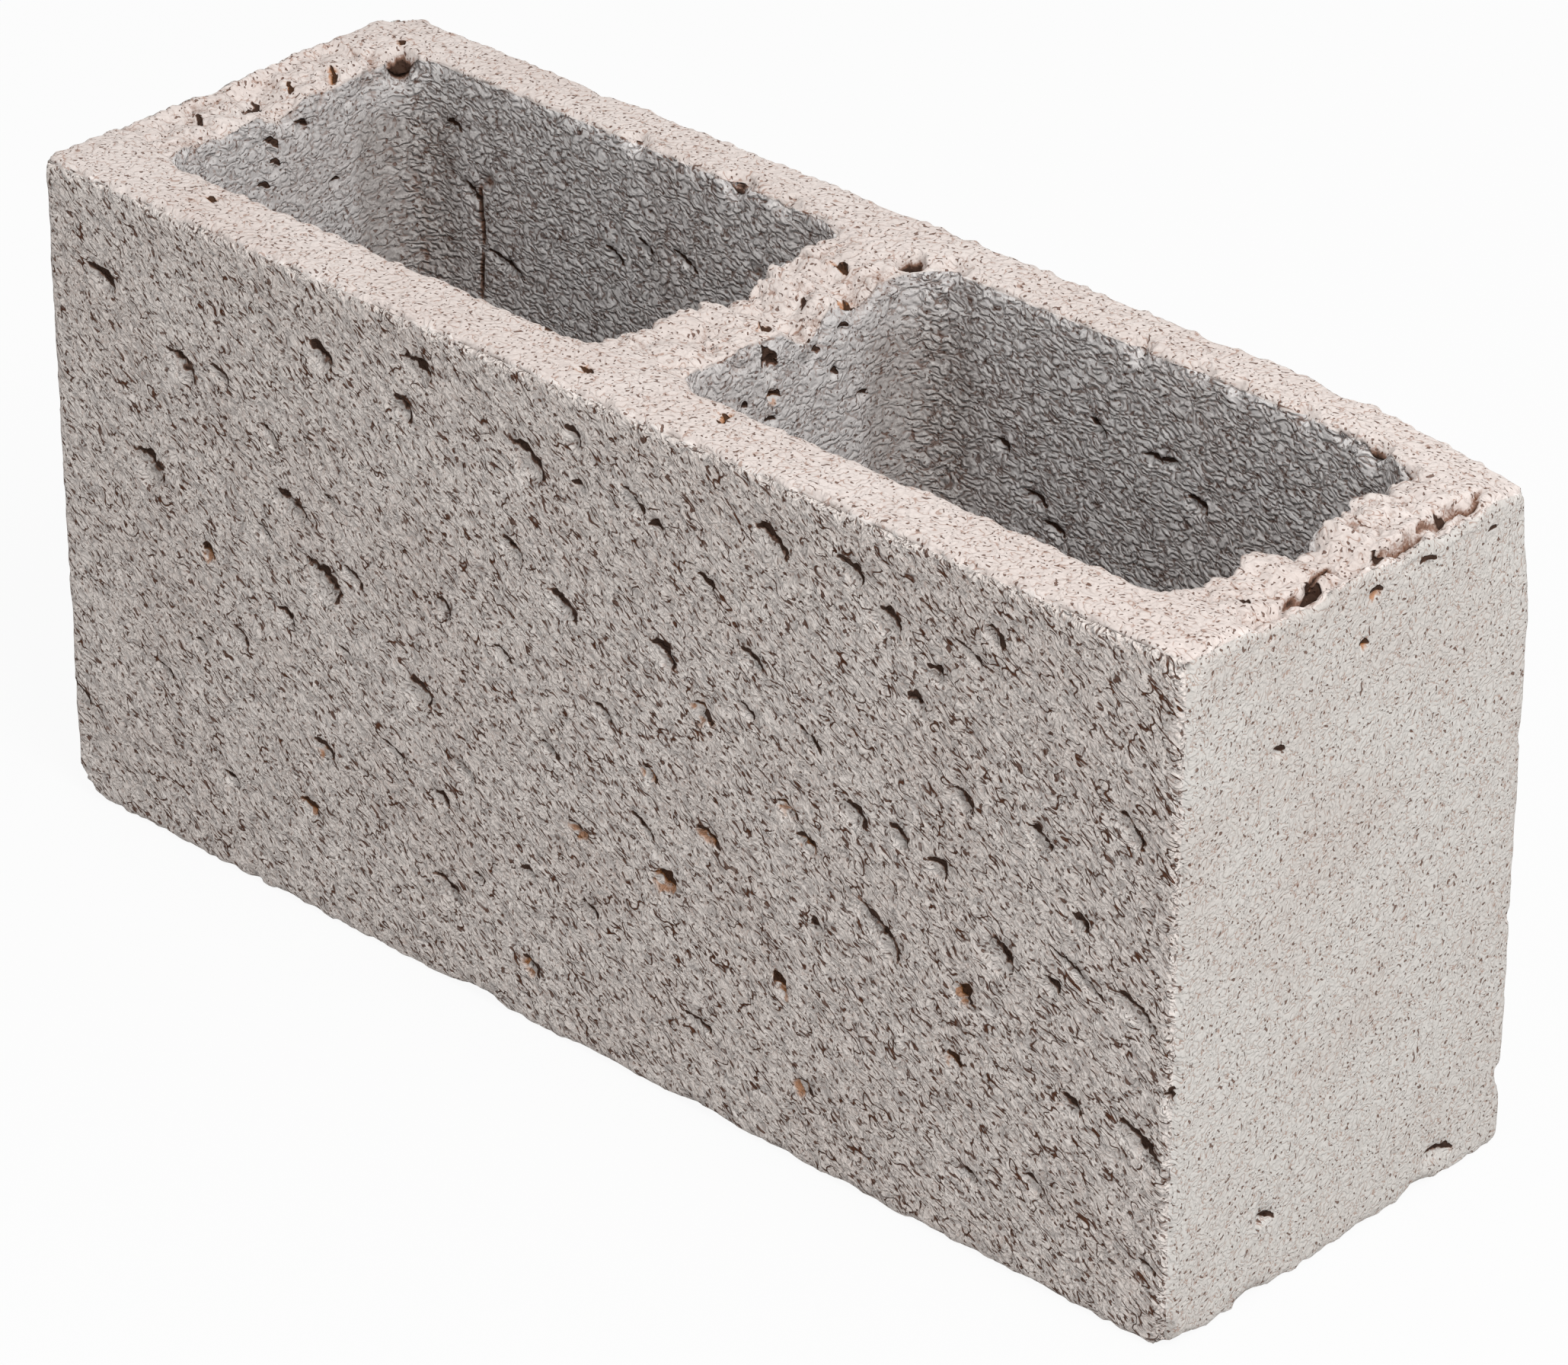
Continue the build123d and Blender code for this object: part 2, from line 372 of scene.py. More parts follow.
def half_block():
    """The right half of the block: a closed profile carried round its cell.

    Each column goes up the outer wall, over its rounded bed edge, in across the top, down the
    cell wall and back out under the bottom, which ends where the column began. Columns on the
    block's middle line have no outer wall. Gives the points and the four corners of each face.
    """
    long_count = round(LENGTH / 2 / SPACING)
    short_count = round(WIDTH / SPACING)
    counts = (long_count, short_count, long_count, short_count)
    quarter = np.linspace(0, math.pi / 2, EDGE_POINTS)

    def up_wall(edge):
        straight = np.linspace(edge, HEIGHT - edge, round((HEIGHT - 2 * edge) / SPACING))
        falling = edge * (1 - np.sin(quarter))
        rising = edge * (1 - np.cos(quarter))
        inset = np.concatenate([falling, 0 * straight[1:-1], rising])
        height = np.concatenate([rising, straight[1:-1], HEIGHT - falling])
        return inset, height

    inset, outer_height = up_wall(BED_ARRIS)
    outset, cell_height = (values[::-1] for values in up_wall(MOUTH_ARRIS))
    outer = outer_ring(counts, inset)
    cell = cell_ring(counts, outset, cell_height)
    outer = np.dstack([outer, np.broadcast_to(outer_height, outer.shape[:2])])
    cell = np.dstack([cell, np.broadcast_to(cell_height, cell.shape[:2])])

    def across(start, end, count):
        share = np.linspace(0, 1, count)[1:-1, None]
        return start[:, None] + (end - start)[:, None] * share

    top = across(outer[:, -1], cell[:, 0], round(FRONT_SHELL / SPACING))
    bottom = across(cell[:, -1], outer[:, 0], round((FRONT_SHELL + CELL_DRAFT) / SPACING))
    points = np.concatenate([outer, top, cell, bottom], axis=1)
    columns, rows = points.shape[:2]
    column, row = np.meshgrid(np.arange(columns), np.arange(rows), indexing="ij")
    on_middle_line = column >= sum(counts[:3])
    on_outer_wall = row < len(outer_height) - 1
    column, row = (index[~(on_middle_line & on_outer_wall)] for index in (column, row))
    here = column * rows
    beside = (column + 1) % columns * rows
    next_row = (row + 1) % rows
    faces = np.stack([here + row, beside + row, beside + next_row, here + next_row], axis=1)
    return points.reshape(-1, 3), faces


def plain_block():
    """Both halves, the left one mirrored and turned right side out, joined where points coincide."""
    points, faces = half_block()
    mirrored = points * (-1, 1, 1)
    points = np.concatenate([points, mirrored])
    faces = np.concatenate([faces, faces[:, ::-1] + len(mirrored)])
    places = np.round(points / (SPACING / 1000)).astype(np.int64)
    _, first, same = np.unique(places, axis=0, return_index=True, return_inverse=True)
    faces = same.reshape(-1)[faces]
    used, faces = np.unique(faces, return_inverse=True)
    return points[first][used], faces.reshape(-1, 4)


def outward(points, faces):
    """Unit normal at each point: the area-weighted sum of the normals of the faces round it."""
    corners = points[faces]
    crossed = np.cross(corners[:, 2] - corners[:, 0], corners[:, 3] - corners[:, 1])
    total = np.zeros_like(points)
    for corner in range(4):
        for axis in range(3):
            total[:, axis] += np.bincount(faces[:, corner], crossed[:, axis], len(points))
    return total / np.linalg.norm(total, axis=1, keepdims=True)


def cell_gap(points):
    """Distance from the wall of the nearer cell, above 0 in the concrete, at the point's own height."""
    half_length, half_width, corner = cell_size(points[:, 2])
    past_x = np.abs(np.abs(points[:, 0]) - CELL_MIDDLE_X) - half_length + corner
    past_y = np.abs(points[:, 1] - CELL_MIDDLE_Y) - half_width + corner
    outside = np.hypot(np.maximum(past_x, 0), np.maximum(past_y, 0))
    return outside + np.minimum(np.maximum(past_x, past_y), 0) - corner


def edge_distance(points):
    """Distance along the surface to the nearest outer edge, and to the nearest mouth of a cell."""
    x, y, z = points.T
    to_faces = np.stack([LENGTH / 2 - np.abs(x), WIDTH / 2 - np.abs(y), HEIGHT - z, z])
    outer = np.sort(to_faces, axis=0)[1]
    gap = np.abs(cell_gap(points))
    mouth = np.minimum(np.maximum(gap, HEIGHT - z), np.maximum(gap, z))
    return outer, mouth


def face_shares(points, normals):
    """How far each point belongs to the front, back, ends, top bed, bottom and cells, from 0 to 1."""
    to_right, to_back, to_top = normals.T
    in_cell = smooth_step(cell_gap(points), 1.2, 0.2) * smooth_step(np.abs(to_top), 0.8, 0.5)
    outside = 1 - in_cell
    return {
        "front": outside * smooth_step(-to_back, 0.5, 0.9),
        "back": outside * smooth_step(to_back, 0.5, 0.9),
        "right": outside * smooth_step(to_right, 0.5, 0.9),
        "left": outside * smooth_step(-to_right, 0.5, 0.9),
        "bed": smooth_step(to_top, 0.2, 0.6),
        "bottom": smooth_step(-to_top, 0.5, 0.9),
        "cell": in_cell,
    }


def between_shells(points):
    """1 over the webs and cells, falling to 0 where the shells begin."""
    aside = np.abs(points[:, 1] - CELL_MIDDLE_Y)
    return smooth_step(aside, CELL_HALF_WIDTH + 3, CELL_HALF_WIDTH - 7)


def web_zone(points):
    """How far each point belongs to the crumbled tops of the webs between the shells, from 0 to 1."""
    return between_shells(points) * smooth_step(points[:, 2], HEIGHT - CRUMB_REACH, HEIGHT - 1)


def clods(points):
    """Crumbs of two sizes that the webs' tops break into: drop below the top, and the gaps between.

    The drop grows with the square of the distance from a crumb's middle, so that each crumb is
    round, and each large one has a level of its own.
    """
    large, next_large, level, _ = grains(points * (1, 1, 0.7), 11, 21)
    small, next_small, small_level, _ = grains(points, 5.2, 26)
    drop = 2.8 * large ** 2 + 1.0 * level + 1.6 * small ** 2 + 0.5 * small_level
    gap = np.maximum(
        smooth_step(next_large - large, 0.10, 0.02),
        0.8 * smooth_step(next_small - small, 0.12, 0.02),
    )
    return drop, gap


def settled(points):
    """The casting's large unevenness: each point moves by the dips and lumps at its own place.

    The groove of the core bar and round crumbs lower the webs, with the walls below them closing
    up evenly over a reach. The mouths of the cells bulge inwards beside the webs, most where a
    wall looks to the left, and the back corner at the right end is worn down.
    """
    x, y, z = points.T
    moved = points.copy()
    near_top = smooth_step(z, HEIGHT - SETTLE_REACH, HEIGHT)
    at_top = smooth_step(z, HEIGHT - MOUTH_REACH, HEIGHT - 1)
    web = between_shells(points)
    rim = smooth_step(LENGTH / 2 - np.abs(x), 2, GROOVE_RIM)

    groove_y = CELL_MIDDLE_Y + 1.5 + 2.5 * soft_noise(points * (1, 0, 0), 24, 11)
    across = np.abs(y - groove_y + 1.5 * soft_noise(points, 6, 12)) / GROOVE_HALF_WIDTH
    share = np.interp(x, np.linspace(-LENGTH / 2, LENGTH / 2, 4), GROOVE_SHARES)
    dip = np.maximum(1 - across ** 1.3, 0) * GROOVE_DEPTH * share * rim
    second_y, second_half, second_depth = SECOND_DIP
    beside = np.maximum(1 - ((y - second_y) / second_half) ** 2, 0)
    dip = dip + second_depth * beside * smooth_step(np.abs(x), 16, 8)

    drop, _ = clods(points)
    crumbly = web_zone(points) * (0.35 + 0.65 * smooth_step(np.abs(y - CELL_MIDDLE_Y), 46, 22))
    crumbly = crumbly * smooth_step(LENGTH / 2 - np.abs(x), 0.5, 5)
    crack_x = LENGTH / 2 - RIM_CRACK_IN
    on_rim = web_zone(points) * smooth_step(x, crack_x - 1, crack_x + 1)
    moved[:, 2] -= near_top * web * dip + crumbly * drop + 1.2 * on_rim * drop

    worn_x = np.clip((x - (LENGTH / 2 - WORN_CORNER_REACH[0])) / WORN_CORNER_REACH[0], 0, 1)
    worn_y = np.clip((y - (WIDTH / 2 - WORN_CORNER_REACH[1])) / WORN_CORNER_REACH[1], 0, 1)
    worn = (worn_x * worn_y) ** 1.3 * near_top
    moved -= worn[:, None] * WORN_CORNER_SHIFT

    mouth = smooth_step(np.abs(cell_gap(points)), 12, 0) * at_top
    inward = -np.sign(np.abs(x) - CELL_MIDDLE_X) * np.sign(x)
    lumps = drop - 1.2 * soft_noise(points, 15, 31)
    bulge = np.where(inward < 0, 6.8 - 1.5 * lumps, 1.2 - 0.5 * lumps)
    moved[:, 0] += web * mouth * inward * bulge
    return moved


def pressed_pits(along, up, wander, table):
    """Depth and iron stain of the pits of a table on a face.

    A pit is an ellipse whose edge wanders. With r the share of the way to its edge and s running
    from -1 at its lower left to 1 at its upper right, its depth is D (1 - r^4)^0.7 times a share
    that grows evenly with s from 0.08 to 1, so that it slopes in from the lower left and ends in a
    steep wall. D follows from its size.
    """
    depth = np.zeros_like(along)
    stain = np.zeros_like(along)
    for row in table:
        size = min(row[2:4])
        reach = 0.75 * max(row[2:4]) + 2
        near = np.flatnonzero((np.abs(along - row[0]) < reach) & (np.abs(up - row[1]) < reach))
        give = min(1.0, 0.2 * size)
        first = along[near] + give * wander[0][near]
        second = up[near] + give * wander[1][near]
        major, minor = pit_coordinates(first, second, row)
        out = major ** 2 + minor ** 2
        inside = np.maximum(1 - out ** 2, 0) ** 0.7
        side = np.clip(0.45 * major + 0.9 * minor, -1, 1)
        full = PIT_LEAST_DEPTH + PIT_DEPTH_BY_SIZE * size
        lean = PIT_LOW_SIDE + (1 - PIT_LOW_SIDE) * (1 + side) / 2
        depth[near] = np.maximum(depth[near], full * inside * lean)
        stain[near] = np.maximum(stain[near], row[5] * smooth_step(out, 1.3, 0.5))
    return depth, stain


def pit_coordinates(along, up, row):
    """Places on a face as shares of one pit's half width and half height, turned with the pit."""
    place, rise, width, height, turn, _ = row
    cosine, sine = math.cos(math.radians(turn)), math.sin(math.radians(turn))
    dx, dz = along - place, up - rise
    major = (dx * cosine + dz * sine) / (PIT_SPREAD * width / 2)
    minor = (dz * cosine - dx * sine) / (PIT_SPREAD * height / 2)
    return major, minor


def pit_tables(points, marks):
    """Each table of pits with the share of each point on its face and its two places there."""
    x, y, z = points.T
    along, across = x + LENGTH / 2, y + WIDTH / 2
    return (
        (FRONT_PITS, marks["front"], along, z),
        (END_PITS, marks["end"] * (x > 0), across, z),
        (LEFT_WEB_PITS, marks["looks_right"] * (x < 0), across, z),
        (MIDDLE_WEB_PITS, marks["looks_right"] * (x > 0), across, z),
        (CELL_BACK_PITS, marks["looks_front"], along, z),
        (BED_PITS, marks["bed"], along, across),
    )


def nearest_pits(points, triangles, marks):
    """Coordinates of each triangle's corners in the pit nearest to it, and 1 near a pit, else 0.

    All corners of a triangle take the same pit, so the coordinates run straight across it.
    """
    middles = points[triangles].mean(axis=1)
    middle_marks = {name: values[triangles].mean(axis=1) for name, values in marks.items()}
    found = np.full((len(triangles), 3, 3), 9.0)
    closest = np.full(len(triangles), 9.0)
    tables = pit_tables(points, marks)
    for number, (table, on_face, first, second) in enumerate(pit_tables(middles, middle_marks)):
        here = np.flatnonzero(on_face > 0.3)
        corner_first, corner_second = (values[triangles[here]] for values in tables[number][2:])
        for row in table:
            major, minor = pit_coordinates(first[here], second[here], row)
            out = major ** 2 + minor ** 2
            better = np.flatnonzero(out < closest[here])
            index = here[better]
            closest[index] = out[better]
            major, minor = pit_coordinates(corner_first[better], corner_second[better], row)
            found[index, :, 0] = major
            found[index, :, 1] = minor
    found[..., 2] = (closest < 9.0)[:, None]
    return found


def bitten(points):
    """Depth of the bites: D (1 - r^2), with r the share of the way out of an ellipsoid."""
    depth = np.zeros(len(points))
    wander = np.stack([soft_noise(points, 3.5, 41 + axis) for axis in range(3)], axis=1)
    shifted = points + (LENGTH / 2, WIDTH / 2, 0) + 1.2 * wander
    for *middle, half_x, half_y, half_z, full in EDGE_BITES:
        share = 1 - (((shifted - middle) / (half_x, half_y, half_z)) ** 2).sum(axis=1)
        depth = np.maximum(depth, full * np.maximum(share, 0))
    return depth


def cell_crack(points, on_wall):
    """Two upright cracks beside the back corner of the left cell, 1 in the middle of each."""
    x, y, z = points.T
    along, across = x + LENGTH / 2, y + WIDTH / 2
    drift = 1.2 * soft_noise(points * (0, 0, 1), 11, 45)
    down = smooth_step(z, 176, 160) * smooth_step(z, 60, 90)
    beside_web = smooth_step(np.abs(across - 108 + drift), 1.2, 0.2) * (along < 45)
    on_shell = smooth_step(np.abs(along - 49 + drift), 1.2, 0.2) * (across > 95)
    broken = smooth_step(soft_noise(points * (0, 0, 1), 7, 46), -0.5, 0.2)
    return np.maximum(0.3 * beside_web, on_shell) * down * broken * on_wall * (x < 0)


def relief(points, normals):
    """Depth of the surface under its smooth form, and what the finish reads at each point.

    Adds up, face by face: the slight unevenness of the fill, pebbles in the cells, scattered and
    placed pits, worn edges and the crack along the rim of the right end.
    """
    face = face_shares(points, normals)
    x, y, z = points.T
    wander = [1.6 * soft_noise(points, 2.6, 51), 1.6 * soft_noise(points, 2.6, 52)]
    calm = face["cell"] * smooth_step(np.abs(normals[:, 0]), 0.5, 0.95)
    marks = {name: face[name] for name in ("front", "back", "bed", "bottom", "cell")}
    marks["end"] = face["left"] + face["right"]
    marks["calm"] = calm
    marks["looks_right"] = face["cell"] * smooth_step(normals[:, 0], 0.6, 0.9)
    marks["looks_front"] = face["cell"] * smooth_step(-normals[:, 1], 0.6, 0.9)

    uneven = 0.12 * (1 + soft_noise(points, 17, 61)) + 0.05 * (1 + soft_noise(points, 4, 62))
    pebble, _, pebble_value, _ = grains(points * (0.8, 0.8, 1), 4.2, 71)
    high_in_cell = face["cell"] * smooth_step(z, 60, 110) * (1 - 0.7 * calm)
    pebbles = (0.08 * face["cell"] + 0.37 * high_in_cell) * pebble ** 2 * (0.5 + 0.8 * pebble_value)

    hole, _, hole_value, hole_size = grains(points, SCATTER_SPACING, 91)
    share = hole * SCATTER_SPACING / (1.2 + 2.2 * hole_size)
    hidden = face["back"] + 0.5 * face["cell"] + 0.5 * face["left"]
    hole_open = (hole_value < SCATTER_OPEN) * hidden
    scattered = (1.2 + 1.6 * hole_size) * np.maximum(1 - share ** 4, 0) * hole_open

    placed = np.zeros(len(points))
    iron = np.zeros(len(points))
    for table, on_face, first, second in pit_tables(points, marks):
        pit, stain = pressed_pits(first, second, wander, table)
        placed = np.maximum(placed, pit * on_face)
        iron = np.maximum(iron, stain * on_face)

    outer_edge, mouth_edge = edge_distance(points)
    scallop, _, _, _ = grains(points, 4.4, 93)
    bumps = np.maximum(soft_noise(points, 3.4, 95), -0.2) + 0.2
    chips = np.maximum(soft_noise(points, 11, 96) - 0.25, 0)
    top_edge = smooth_step(HEIGHT - z, 6, 2)
    bottom_edge = smooth_step(z, 6, 2)
    worn = 0.6 * bumps + 1.2 * chips + (0.4 + 2.8 * top_edge + 0.6 * bottom_edge) * scallop ** 2
    worn = worn * smooth_step(outer_edge, 3.4, 0.3)
    crumbled = (0.6 + 0.4 * calm) * (0.9 * bumps + 0.9 * chips) + 1.2 * scallop ** 2
    worn = np.maximum(worn, crumbled * smooth_step(mouth_edge, 4, 0.4))

    rim_x = LENGTH / 2 - RIM_CRACK_IN + 2.2 * soft_noise(points * (0, 1, 0), 5.5, 97)
    rim_span = smooth_step(y, RIM_CRACK_SPAN[0], RIM_CRACK_SPAN[0] + 12)
    rim_span = rim_span * smooth_step(y, RIM_CRACK_SPAN[1], RIM_CRACK_SPAN[1] - 12)
    rim_span = rim_span * (0.45 + 0.55 * smooth_step(soft_noise(points * (0, 1, 0), 9, 98), -0.4, 0.3))
    rim_crack = smooth_step(np.abs(x - rim_x), 1.1, 0.2) * rim_span * face["bed"]
    _, gap = clods(points)
    gap = gap * web_zone(points) * smooth_step(layered_noise(points, 9, 99, 2), -0.1, 0.4)
    bites = bitten(points)
    cell_cracks = cell_crack(points, face["cell"])

    pits = np.maximum.reduce([placed, scattered, bites, 3.0 * rim_crack])
    depth = uneven + pebbles + pits + worn + 0.8 * gap + 0.9 * cell_cracks
    # The shade mark is painted shade: it darkens the holes, bites, rim crack, gaps between crumbs and
    # cell cracks in the finish
    in_hole, in_bite = smooth_step(scattered, 0.6, 2.2), smooth_step(bites, 2.2, 4.4)
    shade = np.maximum.reduce([in_hole, in_bite, rim_crack, 0.28 * gap, 0.75 * cell_cracks])
    # Painted shade in each cell's back corner beside its left wall, from a little below the mouth down
    from_left_wall = np.abs(np.abs(x) - CELL_MIDDLE_X + CELL_HALF_LENGTH * np.sign(x))
    from_back_wall = CELL_MIDDLE_Y + CELL_HALF_WIDTH - y
    in_corner = smooth_step(from_left_wall, 22, 15) * smooth_step(from_back_wall, 24, 17)
    marks["corner_shade"] = face["cell"] * in_corner * smooth_step(z, HEIGHT - 6, HEIGHT - 22)
    marks["hollow"] = shade
    marks["iron"] = iron
    marks["rim"] = smooth_step(outer_edge, 2.2, 0.4) * (1 - shade)
    return depth, marks


def new_object(name, data):
    """An object in the scene that shows this data."""
    made = bpy.data.objects.new(name, data)
    bpy.context.scene.collection.objects.link(made)
    return made


def write_marks(mesh, marks, names):
    """Stores the named marks on a mesh, with one value for each point."""
    for name in names:
        layer = mesh.attributes.new(name, "FLOAT", "POINT")
        layer.data.foreach_set("value", marks[name].astype(np.float32))


def thinned(points, faces, marks):
    """The same surface with fewer triangles, kept where it bends most; marks follow their points."""
    mesh = bpy.data.meshes.new("dense_surface")
    mesh.from_pydata(points, [], faces)
    write_marks(mesh, marks, marks)
    dense = new_object("dense_surface", mesh)
    thin = dense.modifiers.new("thin", "DECIMATE")
    thin.ratio = KEPT_TRIANGLES / (2 * len(faces))
    thin.use_collapse_triangulate = True
    shown = dense.evaluated_get(bpy.context.evaluated_depsgraph_get()).to_mesh()
    kept = np.empty(3 * len(shown.vertices))
    shown.vertices.foreach_get("co", kept)
    corners = np.empty(len(shown.loops), dtype=np.int32)
    shown.loops.foreach_get("vertex_index", corners)
    kept_marks = {}
    for name in marks:
        values = np.empty(len(shown.vertices), dtype=np.float32)
        shown.attributes[name].data.foreach_get("value", values)
        kept_marks[name] = values
    bpy.data.objects.remove(dense)
    bpy.data.meshes.remove(mesh)
    return kept.reshape(-1, 3), corners.reshape(-1, 3), kept_marks


def bake_rows(points, triangles, marks):
    """Charts of the flat map: for each row of charts, the triangles of each and its two axes.

    A chart is one outer face or one wall of a cell, seen straight on. Triangles that are nearly
    edge on to their own chart are left out.
    """
    corners = points[triangles]
    middles = corners.mean(axis=1)
    x, y, z = middles.T
    normals = np.cross(corners[:, 1] - corners[:, 0], corners[:, 2] - corners[:, 0])
    normals = normals / np.maximum(np.linalg.norm(normals, axis=1, keepdims=True), 1e-9)
    names = ("front", "back", "end", "bed", "bottom", "cell")
    shares = np.stack([marks[name][triangles].mean(axis=1) for name in names])
    region = np.array(names)[np.argmax(shares, axis=0)]
    half_length, half_width, _ = cell_size(z)
    aside = np.abs(x) - CELL_MIDDLE_X
    beside_web = np.abs(aside) - half_length > np.abs(y - CELL_MIDDLE_Y) - half_width
    across_cell = aside * np.sign(x)
    in_cell = region == "cell"

    def chart(chosen, right, up=(0, 0, 1)):
        facing = normals @ np.cross(right, up)
        return np.flatnonzero(chosen & (facing > BAKE_FACING)), np.array(right), np.array(up)

    def wall(side, looks_x, looks_y):
        here = in_cell & (np.sign(x) == side)
        if looks_x:
            return chart(here & beside_web & (across_cell * looks_x < 0), (0, looks_x, 0))
        here = here & ~beside_web & ((y - CELL_MIDDLE_Y) * looks_y < 0)
        return chart(here, (-looks_y, 0, 0))

    front = chart(region == "front", (1, 0, 0))
    back = chart(region == "back", (-1, 0, 0))
    right = chart((region == "end") & (x > 0), (0, 1, 0))
    left = chart((region == "end") & (x < 0), (0, -1, 0))
    top = chart(region == "bed", (1, 0, 0), (0, 1, 0))
    bottom = chart(region == "bottom", (1, 0, 0), (0, -1, 0))
    long_walls = [wall(side, 0, looks) for side in (-1, 1) for looks in (-1, 1)]
    short_walls = [wall(side, looks, 0) for side in (-1, 1) for looks in (-1, 1)]
    return (front, back), (*long_walls, left), (right, *short_walls), (top, bottom)


def bake_map(points, triangles, marks):
    """Place of each triangle's corners on a flat square, from 0 to 1, with no two in one place.

    The charts stand side by side in rows. The triangles that are in none of them, such as those
    under an overhang, get a small square each, in the room that is left in the third row.
    """
    places = np.full((len(triangles), 3, 2), np.nan)
    rows = bake_rows(points, triangles, marks)
    rise = BAKE_MARGIN
    widest = 0
    for number, charts in enumerate(rows):
        run = BAKE_MARGIN
        tallest = 0
        for chosen, right, up in charts:
            corners = points[triangles[chosen]]
            flat = np.stack([corners @ right, corners @ up], axis=2)
            low = flat.min(axis=(0, 1))
            places[chosen] = flat - low + (run, rise)
            width, height = flat.max(axis=(0, 1)) - low
            run += width + BAKE_MARGIN
            tallest = max(tallest, height)
        if number == BAKE_LOOSE_ROW:
            room = (run, rise, tallest)
        widest = max(widest, run)
        rise += tallest + BAKE_MARGIN
    loose = np.flatnonzero(np.isnan(places[:, 0, 0]))
    run, low, tallest = room
    columns = math.ceil(math.sqrt(max(len(loose), 1) * (widest - run) / tallest))
    square = min((widest - run) / columns, tallest / math.ceil(max(len(loose), 1) / columns))
    index = np.arange(len(loose))
    spot = np.stack([run + square * (index % columns), low + square * (index // columns)], axis=1)
    places[loose] = spot[:, None] + square * np.array([(0.1, 0.1), (0.8, 0.1), (0.1, 0.8)])
    return places / (widest, rise)


def make_block():
    """The finished piece: the plain block settled, roughened, thinned and kept inside its box."""
    points, faces = plain_block()
    shaped = settled(points)
    depth, marks = relief(points, outward(points, faces))
    shaped = shaped - depth[:, None] * outward(shaped, faces)
    shaped, triangles, marks = thinned(shaped, faces, marks)
    pits = nearest_pits(shaped, triangles, marks)
    flat_places = bake_map(shaped, triangles, marks)
    shaped = np.clip(shaped * MM, node_low, node_high)
    mesh = bpy.data.meshes.new("block_concrete")
    mesh.from_pydata(shaped, [], triangles)
    write_marks(mesh, marks, FINISH_MARKS)
    layer = mesh.attributes.new("pit", "FLOAT_VECTOR", "CORNER")
    layer.data.foreach_set("vector", pits.ravel().astype(np.float32))
    flat = mesh.uv_layers.new(name="OFBake")
    flat.data.foreach_set("uv", flat_places.ravel().astype(np.float32))
    mesh.shade_smooth()
    return new_object("block_concrete", mesh)


class Signal:
    """A number that varies over a surface. Sums and products of signals add Math nodes."""

    def __init__(self, finish, socket):
        self.finish = finish
        self.socket = socket

    def math(self, operation, *others, swapped=False):
        values = (self, *others)
        if swapped:
            values = values[::-1]
        node = self.finish.node("ShaderNodeMath", dict(enumerate(values)), operation=operation)
        return Signal(self.finish, node.outputs[0])

    def __add__(self, other):
        return self.math("ADD", other)

    def __sub__(self, other):
        return self.math("SUBTRACT", other)

    def __rsub__(self, other):
        return self.math("SUBTRACT", other, swapped=True)

    def __mul__(self, other):
        return self.math("MULTIPLY", other)

    def __abs__(self):
        return self.math("ABSOLUTE")

    __radd__ = __add__
    __rmul__ = __mul__

    def larger(self, other):
        return self.math("MAXIMUM", other)

    def smooth(self, start, end):
        """0 at start and 1 at end, level at both."""
        inputs = {"Value": self, "From Min": start, "From Max": end}
        node = self.finish.node("ShaderNodeMapRange", inputs, interpolation_type="SMOOTHSTEP")
        return Signal(self.finish, node.outputs[0])


class Finish:
    """The node tree of a material or of the world, built up from nothing."""

    def __init__(self, owner):
        owner.use_nodes = True
        self.owner = owner
        self.tree = owner.node_tree
        self.tree.nodes.clear()

    def node(self, kind, inputs=None, **settings):
        """Adds a node, applies its settings, then sets or links its inputs by name or number."""
        node = self.tree.nodes.new(kind)
        for key, value in settings.items():
            setattr(node, key, value)
        for key, value in (inputs or {}).items():
            socket = node.inputs[key]
            if isinstance(value, Signal):
                value = value.socket
            if isinstance(value, bpy.types.NodeSocket):
                self.tree.links.new(value, socket)
            else:
                socket.default_value = value
        return node

    def vector(self, operation, inputs):
        """A place or shift worked out by a Vector Math node."""
        return self.node("ShaderNodeVectorMath", inputs, operation=operation).outputs[0]

    def parts(self, kind, socket):
        """The three numbers of a place or a colour."""
        return [Signal(self, part) for part in self.node(kind, {0: socket}).outputs]

    def attribute(self, name):
        """Outputs of a node that reads what the mesh carries under this name."""
        return self.node("ShaderNodeAttribute", attribute_name=name).outputs

    def noises(self, place, size, detail, roughness=0.5):
        """Outputs of soft noise of features about this many millimetres wide, from 0 to 1."""
        inputs = {"Vector": place, "Scale": 1 / size, "Detail": detail, "Roughness": roughness}
        return self.node("ShaderNodeTexNoise", inputs).outputs

    def noise(self, *settings):
        """The same noise as one number."""
        return Signal(self, self.noises(*settings)[0])

    def mix(self, share, first, second):
        """A colour between two others."""
        inputs = {0: share, 6: first, 7: second}
        return self.node("ShaderNodeMix", inputs, data_type="RGBA").outputs[2]


